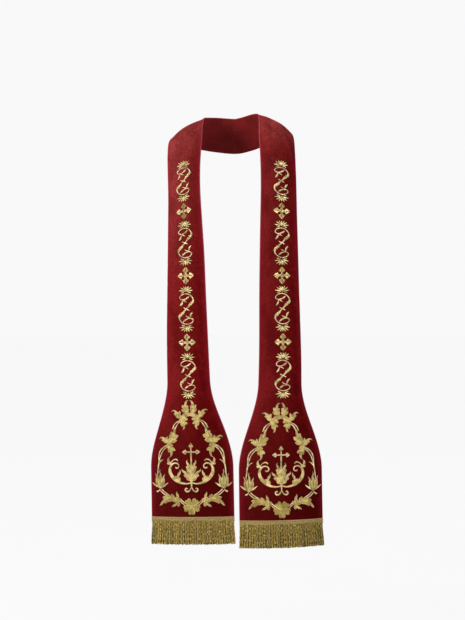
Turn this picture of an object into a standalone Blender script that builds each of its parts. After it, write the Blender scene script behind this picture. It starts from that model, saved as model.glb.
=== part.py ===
"""A clerical stole of the Roman, or fiddle, cut, in the hollow form it takes when it is worn.

Two mirrored halves of interfaced velvet meet in a seam at the centre back. Each goes round the neck, over the
shoulder and down the chest, and flares into a wide end that carries a woven heading and a bullion fringe.
Each half is a wall swept along a centre line, so its cut is the line's length by the width at each place.
The wearer faces -Y. The wearer's right half lies at -X. The origin is on the wearer's side of the top edge
at the middle of the back, where the nape holds the stole.
"""
from collections import namedtuple
from math import cos, radians, sin

import bpy
from mathutils import Vector

MM = 0.001

# The cut, in millimetres. Lengths along a half run down its centre line from the centre-back seam.
WALL = 2.5                  # velvet, interfacing and backing
SEAM_GAP = 0.3
NECK_HALF_WIDTH = 51.5
BAND_HALF_WIDTH = 59.0      # where the narrow band ends
END_HALF_WIDTH = 112.5
TAPER_FROM = 400.0          # the band widens slowly from here
FLARE_FROM = 934.0
FLARE_TO = 1168.0
HEM_AT = 1314.0
HEADING_DEPTH = 13.0
HEADING_THICKNESS = 2.0
FRINGE_DROP = 62.0          # below the heading
FRINGE_THICKNESS = 5.0
FRINGE_SPREAD = 3.0         # the cords fan out past the hem, on each side
STEP = 1.0                  # the distance over which the surface's directions are taken

# How the halves lie on a general figure: a row for each section, from the centre-back seam to below the
# fringe's tips. x (outward), y and z place the centre line, with the neck's axis at x = y = 0 and the
# shoulder's height at z = 0. turn is how far the width swings back, in degrees, and drop how far it slopes
# down outward. crown is how far the cloth bulges between its edges.
Lie = namedtuple("Lie", "x y z turn drop crown")
RIGHT_LIES = (
    Lie(-10, 84, -15, 90, 74, 2),       # the seam, a little to the wearer's left
    Lie(38, 81, -12, 68, 68, 3),
    Lie(80, 63, -10, 45, 55, 6),
    Lie(108, 34, -8, 22, 42, 9),
    Lie(121, 0, -10, 4, 31, 12),          # top of the shoulder
    Lie(126, -37, -23, 3, 28, 11),
    Lie(129, -66, -47, 10, 22, 8),
    Lie(131, -88, -88, 20, 12, 5),
    Lie(131, -110, -142, 28, 4, 3),     # chest
    Lie(129, -137, -212, 31, 0, 3),
    Lie(126, -160, -290, 27, 0, 3),
    Lie(123, -176, -375, 22, 0, 3),
    Lie(121, -187, -480, 18, 0, 3),
    Lie(117.5, -192, -640, 12, 0, 4),
    Lie(113, -194, -770, 10, 0, 6),
    Lie(107.5, -197, -880, 9, 0, 10),   # the flare
    Lie(105, -200, -985, 8, 0, 13),
    Lie(103, -204, -1090, 8, 0, 15),
    Lie(101, -208, -1185, 8, 0, 15),    # below the fringe's tips
)
LEFT_LIES = (
    Lie(10, 84, -15, 90, 74, 2),
    Lie(44, 80, -9, 68, 68, 3),
    Lie(80, 63, 1, 45, 54, 6),
    Lie(108, 34, 5, 22, 39, 10),
    Lie(121, 0, 3, 4, 28, 13),
    Lie(124.5, -37, -11, 2, 25, 13),
    Lie(126, -66, -37, 4, 21, 9),
    Lie(128, -88, -80, 12, 12, 6),
    Lie(129.5, -110, -138, 16, 4, 3),
    Lie(129.5, -137, -210, 17, 0, 3),
    Lie(129, -160, -290, 15, 0, 3),
    Lie(129, -176, -375, 13, 0, 3),
    Lie(129.5, -187, -480, 11, 0, 3),
    Lie(131.5, -192, -640, 9, 0, 5),
    Lie(130.5, -194, -770, 8, 0, 8),
    Lie(131.5, -197, -880, 6, 0, 14),
    Lie(132.5, -200, -985, 5, 0, 19),
    Lie(134, -204, -1090, 5, 0, 23),
    Lie(136, -208, -1185, 5, 0, 24),
)
SEAM_X = 10.0
NAPE = Vector((0.0, 69.7, 29.6))    # the origin in the tables' own place: the top edge at the middle of the back

PANEL_GRID = (8, 64)                # cells across and along
HEADING_GRID = (8, 1)
FRINGE_GRID = (8, 4)
SHARP_EDGE = radians(40)


def smooth(values, places, where):
    """A smooth curve through values that stand at rising places, read at a place from the second to the last."""
    last = len(places) - 1
    k = next((i for i in range(1, last) if where <= places[i + 1]), last - 1)
    step = places[k + 1] - places[k]
    t = (where - places[k]) / step

    def slope(i):
        before, after = max(i - 1, 0), min(i + 1, last)
        return (values[after] - values[before]) / (places[after] - places[before])

    return (values[k] * (2 * t**3 - 3 * t**2 + 1) + slope(k) * step * (t**3 - 2 * t**2 + t)
            + values[k + 1] * (3 * t**2 - 2 * t**3) + slope(k + 1) * step * (t**3 - t**2))


def ease(t):
    """0 up to t = 0, 1 from t = 1, and an S between."""
    t = min(max(t, 0.0), 1.0)
    return t * t * (3 - 2 * t)


def half_width(along):
    """Half the cut's width at a length from the centre-back seam."""
    narrow = min(max((along - TAPER_FROM) / (FLARE_FROM - TAPER_FROM), 0.0), 1.0)
    taper = (BAND_HALF_WIDTH - NECK_HALF_WIDTH) * narrow
    flare = (END_HALF_WIDTH - BAND_HALF_WIDTH) * ease((along - FLARE_FROM) / (FLARE_TO - FLARE_FROM))
    fan = FRINGE_SPREAD * ease((along - HEM_AT) / FRINGE_DROP)
    return NECK_HALF_WIDTH + taper + flare + fan


class Half:
    """One half of the stole: a surface with a place for each across (-1 inner edge, 1 outer edge) and along."""

    def __init__(self, name):
        self.name = name
        self.side = -1 if name == "right" else 1
        rows = [self.section(lie) for lie in (RIGHT_LIES if name == "right" else LEFT_LIES)]
        centre, width, crown = rows[1]
        mirror = Vector((-1, 1, 1))
        beyond = (centre * mirror + Vector((2 * SEAM_X, 0, 0)), width * mirror, crown)
        rows.insert(0, beyond)      # a section past the seam, which keeps the halves square to it
        self.centres, self.widths, self.crowns = zip(*rows)
        self.places = [-(self.centres[1] - self.centres[0]).length]
        for before, after in zip(self.centres, self.centres[1:]):
            self.places.append(self.places[-1] + (after - before).length)

    def section(self, lie):
        """The centre, the direction of the width, inner edge to outer, and the crown, of one row."""
        turn, drop = radians(lie.turn), radians(lie.drop)
        width = Vector((self.side * cos(turn) * cos(drop), sin(turn) * cos(drop), -sin(drop)))
        return Vector((self.side * lie.x, lie.y, lie.z)) - NAPE, width, lie.crown

    def surface(self, across, along):
        """A point on the wearer's side of the cloth."""
        centre = smooth(self.centres, self.places, along)
        path = (smooth(self.centres, self.places, along + STEP) - centre).normalized()
        width = smooth(self.widths, self.places, along)
        width = (width - path * width.dot(path)).normalized()
        outward = path.cross(width) * self.side
        crown = smooth(self.crowns, self.places, along) * (1 - across * across)
        return centre + width * across * half_width(along) + outward * crown

    def point(self, across, along, out):
        """A point at a distance out from the wearer's side of the cloth, square to it."""
        here = self.surface(across, along)
        nudge = STEP / half_width(along)
        sideways = self.surface(across + nudge, along) - self.surface(across - nudge, along)
        down = self.surface(across, along + STEP) - self.surface(across, max(along - STEP, 0))
        outward = down.cross(sideways) * self.side
        if along == 0:
            outward.x = 0           # the seam is a plane
            here.x = SEAM_X + self.side * SEAM_GAP / 2
        return here + outward.normalized() * out


def slab(name, half, along, out, grid, material):
    """A closed wall over one stretch of a half, between two distances out from it, as an object of its own."""
    across_cells, along_cells = grid
    points = []
    for distance in out:
        for j in range(along_cells + 1):
            place = along[0] + (along[1] - along[0]) * j / along_cells
            for i in range(across_cells + 1):
                points.append(half.point(2 * i / across_cells - 1, place, distance) * MM)

    row = across_cells + 1
    layer = row * (along_cells + 1)
    faces = []
    for j in range(along_cells):
        for i in range(across_cells):
            a = j * row + i
            quad = (a, a + 1, a + row + 1, a + row)
            faces.append(tuple(reversed(quad)))
            faces.append(tuple(layer + corner for corner in quad))
    rim = ([i for i in range(row)]
           + [j * row + across_cells for j in range(1, along_cells + 1)]
           + [along_cells * row + i for i in reversed(range(across_cells))]
           + [j * row for j in reversed(range(1, along_cells))])
    for a, b in zip(rim, rim[1:] + rim[:1]):
        faces.append((a, b, layer + b, layer + a))
    if half.side > 0:
        faces = [tuple(reversed(face)) for face in faces]

    mesh = bpy.data.meshes.new(name)
    mesh.from_pydata(points, [], faces)
    mesh.materials.append(material)
    mesh.shade_smooth()
    mesh.set_sharp_from_angle(angle=SHARP_EDGE)
    piece = bpy.data.objects.new(name, mesh)
    bpy.context.scene.collection.objects.link(piece)
    return piece


def cloth_material(name, colour, roughness, sheen, metallic=0.0):
    material = bpy.data.materials.new(name)
    material.use_nodes = True
    shader = material.node_tree.nodes["Principled BSDF"]
    shader.inputs["Base Color"].default_value = (*colour, 1.0)
    shader.inputs["Roughness"].default_value = roughness
    shader.inputs["Sheen Weight"].default_value = sheen
    shader.inputs["Metallic"].default_value = metallic
    material.diffuse_color = (*colour, 1.0)
    return material


for old in list(bpy.data.objects):
    bpy.data.objects.remove(old, do_unlink=True)

velvet = cloth_material("velvet", (0.19, 0.008, 0.008), 0.85, 0.6)
braid = cloth_material("braid", (0.46, 0.30, 0.12), 0.55, 0.1, metallic=0.3)
bullion = cloth_material("bullion", (0.33, 0.22, 0.06), 0.5, 0.1, metallic=0.4)

face = WALL + SEAM_GAP
for side_name in ("right", "left"):
    half = Half(side_name)
    slab("panel_" + side_name, half, (0, HEM_AT), (0, WALL), PANEL_GRID, velvet)
    slab("heading_" + side_name, half, (HEM_AT - HEADING_DEPTH, HEM_AT), (face, face + HEADING_THICKNESS),
         HEADING_GRID, braid)
    fringe_top = HEM_AT + SEAM_GAP
    slab("fringe_" + side_name, half, (fringe_top, fringe_top + FRINGE_DROP), (0, FRINGE_THICKNESS),
         FRINGE_GRID, bullion)
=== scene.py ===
"""The looks of the clerical stole: red velvet, raised gold embroidery, woven headings and bullion fringe.

The cloth lies on the same sweep as the part's solids. A Half gives the place of a point that is so far across
and along the cut, and so far out from the wearer's side. The embroidery is drawn flat, in motifs, and laid on
that sweep. Lengths are in millimetres until a piece is made, and then in metres.
"""
from collections import namedtuple

import bpy
import numpy as np
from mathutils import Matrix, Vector


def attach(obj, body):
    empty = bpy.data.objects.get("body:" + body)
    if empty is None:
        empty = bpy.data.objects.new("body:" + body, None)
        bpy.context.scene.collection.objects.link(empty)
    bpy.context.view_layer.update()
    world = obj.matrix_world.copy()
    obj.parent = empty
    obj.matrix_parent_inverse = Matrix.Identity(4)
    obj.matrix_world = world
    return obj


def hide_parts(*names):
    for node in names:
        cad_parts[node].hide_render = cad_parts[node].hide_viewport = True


MM = 0.001

# The cut, as the part has it. Lengths along a half run down its centre line from the centre-back seam.
WALL = 2.5
SEAM_GAP = 0.02             # the halves are sewn together
SEAM_DIP = 0.9              # how far the pile goes down into the seam
NECK_HALF_WIDTH = 51.5
BAND_HALF_WIDTH = 59.0
END_HALF_WIDTH = 112.5
TAPER_FROM = 400.0
FLARE_FROM = 934.0
FLARE_TO = 1168.0
HEM_AT = 1314.0
HEADING_DEPTH = 13.0
FRINGE_DROP = 62.0
FRINGE_SPREAD = 3.0
STEP = 1.0                  # the distance over which the surface's directions are taken


def table(kind, rows):
    """Rows of numbers as so many named tuples of one kind."""
    return tuple(kind(*row) for row in rows)


# How the halves lie, as the part has it: a row for each section, from the seam to below the fringe's tips.
Lie = namedtuple("Lie", "x y z turn drop crown")
RIGHT_LIES = table(Lie, (
    (-10, 84, -15, 90, 74, 2),
    (38, 81, -12, 68, 68, 3),
    (80, 63, -10, 45, 55, 6),
    (108, 34, -8, 22, 42, 9),
    (121, 0, -10, 4, 31, 12),
    (126, -37, -23, 3, 28, 11),
    (129, -66, -47, 10, 22, 8),
    (131, -88, -88, 20, 12, 5),
    (131, -110, -142, 28, 4, 3),
    (129, -137, -212, 31, 0, 3),
    (126, -160, -290, 27, 0, 3),
    (123, -176, -375, 22, 0, 3),
    (121, -187, -480, 18, 0, 3),
    (117.5, -192, -640, 12, 0, 4),
    (113, -194, -770, 10, 0, 6),
    (107.5, -197, -880, 9, 0, 10),
    (105, -200, -985, 8, 0, 13),
    (103, -204, -1090, 8, 0, 15),
    (101, -208, -1185, 8, 0, 15),
))
LEFT_LIES = table(Lie, (
    (10, 84, -15, 90, 74, 2),
    (44, 80, -9, 68, 68, 3),
    (80, 63, 1, 45, 54, 6),
    (108, 34, 5, 22, 39, 10),
    (121, 0, 3, 4, 28, 13),
    (124.5, -37, -11, 2, 25, 13),
    (126, -66, -37, 4, 21, 9),
    (128, -88, -80, 12, 12, 6),
    (129.5, -110, -138, 16, 4, 3),
    (129.5, -137, -210, 17, 0, 3),
    (129, -160, -290, 15, 0, 3),
    (129, -176, -375, 13, 0, 3),
    (129.5, -187, -480, 11, 0, 3),
    (131.5, -192, -640, 9, 0, 5),
    (130.5, -194, -770, 8, 0, 8),
    (131.5, -197, -880, 6, 0, 14),
    (132.5, -200, -985, 5, 0, 19),
    (134, -204, -1090, 5, 0, 23),
    (136, -208, -1185, 5, 0, 24),
))
SEAM_X = 10.0
NAPE = np.array((0.0, 69.7, 29.6))

# Soft creases, each a ridge, or a trough where its rise is negative, from one place on the cut to another.
Crease = namedtuple("Crease", "along across to_along to_across spread rise")
RIGHT_CREASES = table(Crease, (
    (30, 0.6, 95, -0.1, 9, 1.6),            # behind the neck
    (60, -0.7, 120, 0.2, 8, -1.3),
    (118, 0.9, 165, 0.1, 9, 1.7),
    (186, -0.75, 262, 0.55, 5.5, 3.4),      # slanting over the shoulder
    (205, -0.85, 240, 0.0, 5.5, -2.8),
    (222, -0.35, 292, 0.8, 5.5, 2.8),
    (236, 0.1, 268, 0.75, 5, -2.4),
    (300, 0.75, 395, 0.55, 8, 1.7),
    (372, -0.8, 520, -0.62, 11, 1.3),
    (500, 0.72, 640, 0.6, 10, -1.1),
    (610, -0.55, 760, -0.75, 13, 1.2),
    (622, 0.98, 650, 0.42, 4, -1.5),        # small ones from the outer edge
    (672, 0.98, 706, 0.5, 4.5, -1.3),
    (730, 0.98, 752, 0.5, 4, 1.3),
    (742, 0.8, 905, 0.55, 14, 1.5),
    (846, 0.98, 888, 0.5, 5, -1.5),
    (905, -0.75, 1060, -0.35, 19, 2.0),     # where the flare opens
    (985, 0.45, 1170, 0.72, 22, 2.2),
    (1070, -0.1, 1220, -0.2, 24, -1.9),
    (1150, 0.25, 1310, 0.36, 17, 1.8),
    (1190, -0.62, 1312, -0.7, 15, 1.7),
))
LEFT_CREASES = table(Crease, (
    (24, -0.2, 84, 0.6, 9, 1.5),
    (92, 0.75, 140, -0.3, 8, -1.4),
    (130, -0.85, 172, -0.2, 9, 1.5),
    (160, -0.45, 226, -0.25, 12, -4.5),
    (200, -0.9, 250, 0.1, 6.5, 3.0),
    (228, 0.3, 300, 0.85, 7, 2.8),
    (258, -0.75, 330, -0.2, 7, -2.2),
    (330, 0.8, 470, 0.68, 10, 1.2),
    (455, -0.75, 580, -0.6, 11, 1.1),
    (566, 0.62, 700, 0.8, 12, -1.3),
    (606, -0.98, 640, -0.45, 4, -1.2),
    (700, -0.6, 860, -0.78, 13, 1.3),
    (765, 0.98, 800, 0.45, 4.5, -1.3),
    (842, 0.7, 960, 0.5, 14, 1.4),
    (930, 0.6, 1090, 0.3, 20, 2.0),
    (1000, -0.5, 1165, -0.75, 22, 2.2),
    (1090, 0.15, 1236, 0.1, 23, -2.0),
    (1170, -0.3, 1312, -0.42, 16, 1.8),
    (1200, 0.66, 1312, 0.6, 15, 1.8),
))

CREASE_BOW = 0.06           # how far a crease bows to one side, as a share of its length
CREASE_FADE = 0.25          # the share of its length that it fades out over, before and after each end

PANEL_CELLS = (48, 438)     # across and along
EDGE_CELLS = 5              # round each edge, an odd number
EDGE_PUFF = 0.5             # how far the turned edge stands up
EDGE_PUFF_AT = 2.6          # in from the edge
EDGE_PUFF_SPREAD = 1.8
SEAM_DIP_SPREAD = 2.0       # how far from the seam the dip is
PANEL_SHARP = np.radians(55)  # the corners of a panel's two ends are sharper than this


# ---------------------------------------- the sweep

def smooth(values, places, where):
    """Smooth curves through rows of values that stand at rising places, read at many places."""
    values = np.asarray(values, float).reshape(len(places), -1)
    places = np.asarray(places, float)
    where = np.asarray(where, float)
    last = len(places) - 1
    before = np.maximum(np.arange(last + 1) - 1, 0)
    after = np.minimum(np.arange(last + 1) + 1, last)
    slopes = (values[after] - values[before]) / (places[after] - places[before])[:, None]
    k = np.clip(np.searchsorted(places, where) - 1, 0, last - 1)
    step = (places[k + 1] - places[k])[..., None]
    t = (where - places[k])[..., None] / step
    return (values[k] * (2 * t**3 - 3 * t**2 + 1) + slopes[k] * step * (t**3 - 2 * t**2 + t)
            + values[k + 1] * (3 * t**2 - 2 * t**3) + slopes[k + 1] * step * (t**3 - t**2))


def ease(t):
    """0 up to t = 0, 1 from t = 1, and an S between."""
    t = np.clip(t, 0.0, 1.0)
    return t * t * (3 - 2 * t)


def unit(vectors):
    return vectors / np.maximum(np.linalg.norm(vectors, axis=-1, keepdims=True), 1e-9)


def half_width(along):
    """Half the cut's width at a length from the centre-back seam."""
    narrow = np.clip((along - TAPER_FROM) / (FLARE_FROM - TAPER_FROM), 0.0, 1.0)
    taper = (BAND_HALF_WIDTH - NECK_HALF_WIDTH) * narrow
    flare = (END_HALF_WIDTH - BAND_HALF_WIDTH) * ease((along - FLARE_FROM) / (FLARE_TO - FLARE_FROM))
    fan = FRINGE_SPREAD * ease((along - HEM_AT) / FRINGE_DROP)
    return NECK_HALF_WIDTH + taper + flare + fan


class Half:
    """One half of the stole. Across runs from -1 at the inner edge to 1 at the outer one."""

    def __init__(self, name):
        self.name = name
        self.side = -1 if name == "right" else 1
        self.creases = RIGHT_CREASES if name == "right" else LEFT_CREASES
        rows = [self.section(lie) for lie in (RIGHT_LIES if name == "right" else LEFT_LIES)]
        centre, width, crown = rows[1]
        mirror = np.array((-1, 1, 1))
        rows.insert(0, (centre * mirror + (2 * SEAM_X, 0, 0), width * mirror, crown))
        self.centres, self.widths, self.crowns = (np.array(column, float) for column in zip(*rows))
        steps = np.linalg.norm(np.diff(self.centres, axis=0), axis=1)
        self.places = np.concatenate([[0], np.cumsum(steps)]) - steps[0]

    def section(self, lie):
        """The centre, the direction of the width, inner edge to outer, and the crown, of one row."""
        turn, drop = np.radians((lie.turn, lie.drop))
        level = np.cos(drop)
        width = np.array((self.side * np.cos(turn) * level, np.sin(turn) * level, -np.sin(drop)))
        return np.array((self.side * lie.x, lie.y, lie.z)) - NAPE, width, lie.crown

    def surface(self, across, along):
        """Points on the wearer's side of the smooth cloth."""
        centre = smooth(self.centres, self.places, along)
        path = unit(smooth(self.centres, self.places, along + STEP) - centre)
        width = smooth(self.widths, self.places, along)
        width = unit(width - path * (width * path).sum(-1, keepdims=True))
        outward = np.cross(path, width) * self.side
        crown = smooth(self.crowns, self.places, along)[..., 0] * (1 - across * across)
        return centre + width * (across * half_width(along))[..., None] + outward * crown[..., None]

    def lift(self, across, along):
        """How far the creases raise the cloth."""
        side = across * half_width(along)
        total = np.zeros(np.shape(along))
        for crease in self.creases:
            start = np.array((crease.across * half_width(crease.along), crease.along))
            end = np.array((crease.to_across * half_width(crease.to_along), crease.to_along))
            run = end - start
            length = np.linalg.norm(run)
            t = ((side - start[0]) * run[0] + (along - start[1]) * run[1]) / (run @ run)
            bow = CREASE_BOW * length * np.sin(np.pi * np.clip(t, 0, 1)) * np.sign(crease.rise)
            off = ((side - start[0]) * run[1] - (along - start[1]) * run[0]) / length - bow
            fade = ease((1 + t / CREASE_FADE) / 2) * ease((1 + (1 - t) / CREASE_FADE) / 2)
            total += crease.rise * np.exp(-(off / crease.spread) ** 2) * fade
        return total

    def point(self, across, along, out):
        """Points at a distance out from the wearer's side of the creased cloth, square to the smooth one."""
        across, along, out = np.broadcast_arrays(across, np.asarray(along, float), out)
        here = self.surface(across, along)
        nudge = STEP / half_width(along)
        sideways = self.surface(across + nudge, along) - self.surface(across - nudge, along)
        down = self.surface(across, along + STEP) - self.surface(across, np.maximum(along - STEP, 0))
        outward = np.cross(down, sideways) * self.side
        seam = along < 1e-6
        outward[..., 0] = np.where(seam, 0, outward[..., 0])
        here[..., 0] = np.where(seam, SEAM_X + self.side * SEAM_GAP / 2, here[..., 0])
        return here + unit(outward) * (out + self.lift(across, along))[..., None]


# ---------------------------------------- meshes

def make_piece(name, points, faces, marks, materials, slots=None):
    """A mesh object from points in millimetres, with a vector of marks for each, which its material reads."""
    mesh = bpy.data.meshes.new(name)
    mesh.from_pydata(points * MM, [], faces)
    layer = mesh.attributes.new("marks", "FLOAT_VECTOR", "POINT")
    layer.data.foreach_set("vector", np.asarray(marks, np.float32).ravel())
    for material in materials:
        mesh.materials.append(material)
    if slots is not None:
        mesh.polygons.foreach_set("material_index", np.asarray(slots, np.int32))
    mesh.shade_smooth()
    mesh.update()
    piece = bpy.data.objects.new(name, mesh)
    bpy.context.scene.collection.objects.link(piece)
    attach(piece, "root")
    return piece


def outside_out(points, faces):
    """The faces of a closed shape, turned so that they point out of it."""
    a, b, c, d = (points[faces[:, i]] for i in range(4))
    volume = (np.cross(a, b) * c).sum() + (np.cross(a, c) * d).sum()
    return faces if volume > 0 else faces[:, ::-1]


def grid_faces(rows, columns):
    """Quads over a grid of so many rows and columns of points."""
    row, i = np.meshgrid(np.arange(rows - 1), np.arange(columns - 1), indexing="ij")
    a = (row * columns + i).ravel()
    return np.stack([a, a + 1, a + columns + 1, a + columns], 1)


def tube_faces(rows, ring):
    """Quads round a tube of so many rows of points, ring points to a row, without its ends."""
    row, i = np.meshgrid(np.arange(rows - 1), np.arange(ring), indexing="ij")
    a = row * ring + i
    b = row * ring + (i + 1) % ring
    return np.stack([a, b, b + ring, a + ring], -1).reshape(-1, 4)


def end_cap(start, cells, ring, last):
    """Quads that close one end of a panel, whose ring of points begins at start."""
    i = np.arange(-(EDGE_CELLS // 2), cells + EDGE_CELLS // 2)
    opposite = 2 * cells + EDGE_CELLS - i
    quads = np.stack([i, i + 1, opposite - 1, opposite], 1) % ring + start
    return quads if last else quads[:, ::-1]


def make_panel(half, velvet, underside):
    """The velvet of one half: a closed shell with rounded, slightly puffed edges."""
    cells, rows = PANEL_CELLS
    radius = WALL / 2
    turn = np.radians(np.arange(1, EDGE_CELLS) * 180 / EDGE_CELLS)
    # Round the section: over the front, inner edge to outer, round the edge, back underneath, and round
    # again. The columns are the share of the width, what is added to it, and the height.
    front = np.stack([np.linspace(-1, 1, cells + 1), np.zeros(cells + 1), np.full(cells + 1, WALL)], 1)
    outer = np.stack([np.ones(EDGE_CELLS - 1), radius * np.sin(turn), radius + radius * np.cos(turn)], 1)
    back = front[::-1] * (1, 1, 0)
    inner = outer[::-1] * (-1, -1, 1)
    section = np.concatenate([front, outer, back, inner])
    ring = len(section)

    along = np.linspace(0, HEM_AT, rows + 1)[:, None]
    width = half_width(along)
    side = section[:, 0] * (width - radius) + section[:, 1]
    from_edge = width - np.abs(side)
    puff = EDGE_PUFF * np.exp(-((from_edge - EDGE_PUFF_AT) / EDGE_PUFF_SPREAD) ** 2)
    dip = SEAM_DIP * np.exp(-(along / SEAM_DIP_SPREAD) ** 2)
    out = section[:, 2] + (puff - dip) * (section[:, 2] > radius)
    points = half.point(side / width, along, out).reshape(-1, 3)
    marks = np.stack(np.broadcast_arrays(side * half.side, along, from_edge), -1).reshape(-1, 3)

    first, last = end_cap(0, cells, ring, False), end_cap(rows * ring, cells, ring, True)
    faces = np.concatenate([tube_faces(rows + 1, ring), first, last])
    cell = np.arange(ring)
    below = (cell >= cells + EDGE_CELLS) & (cell < 2 * cells + EDGE_CELLS)
    slots = np.concatenate([np.tile(below, rows), np.zeros(len(first) + len(last), bool)])
    panel = make_piece("panel_velvet_" + half.name, points, outside_out(points, faces), marks,
                       (velvet, underside), slots)
    panel.data.set_sharp_from_angle(angle=PANEL_SHARP)
    return panel


# ---------------------------------------- headings and fringes

HEADING_STANDS = 2.1        # how high its weave is
HEADING_BASE = 0.15         # the weave's foot, above the velvet
HEADING_RIM = 0.35          # its rim, above the velvet
HEADING_UNDER = 0.05        # its underside, above the velvet
HEADING_INSET = 0.4         # from the velvet's edges
HEADING_CELL = 0.5          # of its mesh, both ways
HEADING_LEAST = 0.12        # the height of its gaps, as a share
RAGGED = ((0.18, 1.9, 0), (0.12, 4.7, 1))   # waves of its edges: size, radians to a millimetre, and start

# Ridges along the heading: the middle, from its upper edge, and the spread, and the height as a share.
Ridge = namedtuple("Ridge", "at spread height")
GIMP = Ridge(1.4, 1.0, 1.0)                         # the twisted cord along its top
RIB = Ridge(6.7, 0.55, 0.2)                         # where the loops turn from one slant to the other
SELVEDGE = Ridge(HEADING_DEPTH - 1.3, 0.75, 0.72)
GIMP_PITCH = 3.0            # of the cord's twist, and of the selvedge's
GIMP_LEAN = 1.3             # how far the twist leans, to the side for each step down
GIMP_DEPTH = 0.14           # of the twist, as a share
SELVEDGE_DEPTH = 0.12

LOOPS_FROM = 2.4            # the loops that cross the heading
LOOPS_TO = HEADING_DEPTH - 1.6
LOOPS_FADE = 0.7            # the length over which they begin and end
LOOP_PITCH = 2.5
LOOP_LEAN = 0.9
LOOP_HEIGHT = 0.56
LOOP_DEPTH = 0.24           # how far they rise and fall about that

CORDS = 70                  # in each of the fringe's two layers
CORD_RADIUS = 1.78
CORD_SIDES = 8
CORD_TWIST = 8.4            # length of a full turn of its two plies
PLY_DEPTH = 0.2             # of the hollows between them, as a share of the radius
CORD_PLACES = np.append(np.linspace(0, 0.965, 60), (0.978, 0.989, 0.997, 1.0))  # the rows down it
TIP_FROM = 0.955            # the share of a cord's length from which it rounds off
TIP_SPAN = 0.0455
SHADED_CORDS = 0.4          # the share of every second cord that lies deeper, and looks dark
SHADED_DEPTH = 0.6
SECOND_SHADE = 0.3           # painted shade: how light the others of every second cord are, as a share
LIT_TONE = 0.5              # how light the darkest of the rest are
HOLLOW_SHADE = 0.2           # painted shade: how light the hollows between a cord's plies are, as a share
MIDDLE_TONE = 0.42          # what all tones come nearer to, close under the heading
CLUMP_LEAN = 0.25           # how far the cords lean in clumps, at their tips
CLUMP_RATE = 1.37           # radians of a clump from one cord to the next
LEAN_SPREAD = 0.2           # by chance, on top of that
LEAN_MOST = 0.45            # of the two together
WAVE_SPREAD = 0.12          # how far a cord waves on its way down, by chance
DROP_LEAST = 0.2            # how much shorter than the fringe it is, at least
DROP_SPREAD = 1.3           # and by chance
DEPTH_SPREAD = 0.28         # how far out of its layer it hangs, by chance
FRINGE_SEEDS = {"right": 41, "left": 87}

# A layer of cords. pairing is how far a cord leans towards its neighbour, because those in front hang in
# twos, and tone how light its front is, as a share, because those behind are in the others' shade.
Layer = namedtuple("Layer", "out start radius shift pairing tone")
LAYERS = (
    Layer(3.35, HEM_AT - 1.5, CORD_RADIUS, 0.25, 0.32, 1.0),        # in front, from under the heading
    Layer(1.15, HEM_AT - 0.8, CORD_RADIUS * 0.95, 0.75, 0.0, 0.3),  # behind, from inside the hem's edge
)

# How a cord hangs: where it starts across, and its lean, wave, length below the hem, depth, turn and tone.
Course = namedtuple("Course", "start lean wave drop depth turn tone")


def raised(ridge, down):
    """How far a ridge stands at a distance down the heading."""
    return ridge.height * np.exp(-((down - ridge.at) / ridge.spread) ** 2)


def heading_height(side, down):
    """How far the heading's weave stands at a place, 0 to 1: a twisted cord, crossed loops and a selvedge."""
    twist = np.cos(2 * np.pi * (side - GIMP_LEAN * down) / GIMP_PITCH)
    gimp = raised(GIMP, down) * (1 - GIMP_DEPTH + GIMP_DEPTH * twist)
    slant = side + np.where(down < RIB.at, LOOP_LEAN, -LOOP_LEAN) * down
    inside = ease((down - LOOPS_FROM) / LOOPS_FADE) * ease((LOOPS_TO - down) / LOOPS_FADE)
    loops = inside * (LOOP_HEIGHT + LOOP_DEPTH * np.cos(2 * np.pi * slant / LOOP_PITCH)) + raised(RIB, down)
    ripple = np.cos(2 * np.pi * (side + down) / GIMP_PITCH)
    selvedge = raised(SELVEDGE, down) * (1 - SELVEDGE_DEPTH + SELVEDGE_DEPTH * ripple)
    return np.clip(np.maximum(np.maximum(gimp, loops), selvedge), HEADING_LEAST, 1.0)


def strip_faces(wide, deep):
    """The faces of a closed strip: a top and a bottom grid of so many cells, with a wall round them."""
    row = wide + 1
    top = grid_faces(deep + 1, row)
    rim = np.concatenate([np.arange(wide), np.arange(deep) * row + wide,
                          deep * row + np.arange(wide, 0, -1), np.arange(deep, 0, -1) * row])
    following = np.roll(rim, -1)
    under = row * (deep + 1)
    wall = np.stack([following, rim, rim + under, following + under], 1)
    return np.concatenate([top, top[:, ::-1] + under, wall])


def make_heading(half, braid):
    """The woven heading, sewn flat on the hem's face: a closed strip, a little ragged along its edges."""
    wide = int(2 * END_HALF_WIDTH / HEADING_CELL)
    deep = int(HEADING_DEPTH / HEADING_CELL)
    across = np.linspace(-1, 1, wide + 1)
    down = np.linspace(0, HEADING_DEPTH, deep + 1)[:, None]
    side = across * (half_width(HEM_AT) - HEADING_INSET)
    ragged = sum(size * np.sin(side * rate + start) for size, rate, start in RAGGED)
    height = WALL + HEADING_BASE + HEADING_STANDS * heading_height(side, down)
    rim = (down < 0.1) | (down > HEADING_DEPTH - 0.1) | (np.abs(across) > 0.999)
    height = np.where(rim, WALL + HEADING_RIM, height)
    along = HEM_AT - HEADING_DEPTH + down + ragged * (down / HEADING_DEPTH - 0.5) * 2
    side, along, height, down = np.broadcast_arrays(side, along, height, down)
    top = half.point(side / half_width(along), along, height).reshape(-1, 3)
    bottom = half.point(side / half_width(along), along, WALL + HEADING_UNDER).reshape(-1, 3)
    points = np.concatenate([top, bottom])
    marks = np.stack([side, down, height - WALL], -1).reshape(-1, 3)
    return make_piece("heading_braid_" + half.name, points, outside_out(points, strip_faces(wide, deep)),
                      np.concatenate([marks, marks]), (braid,))


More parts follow.
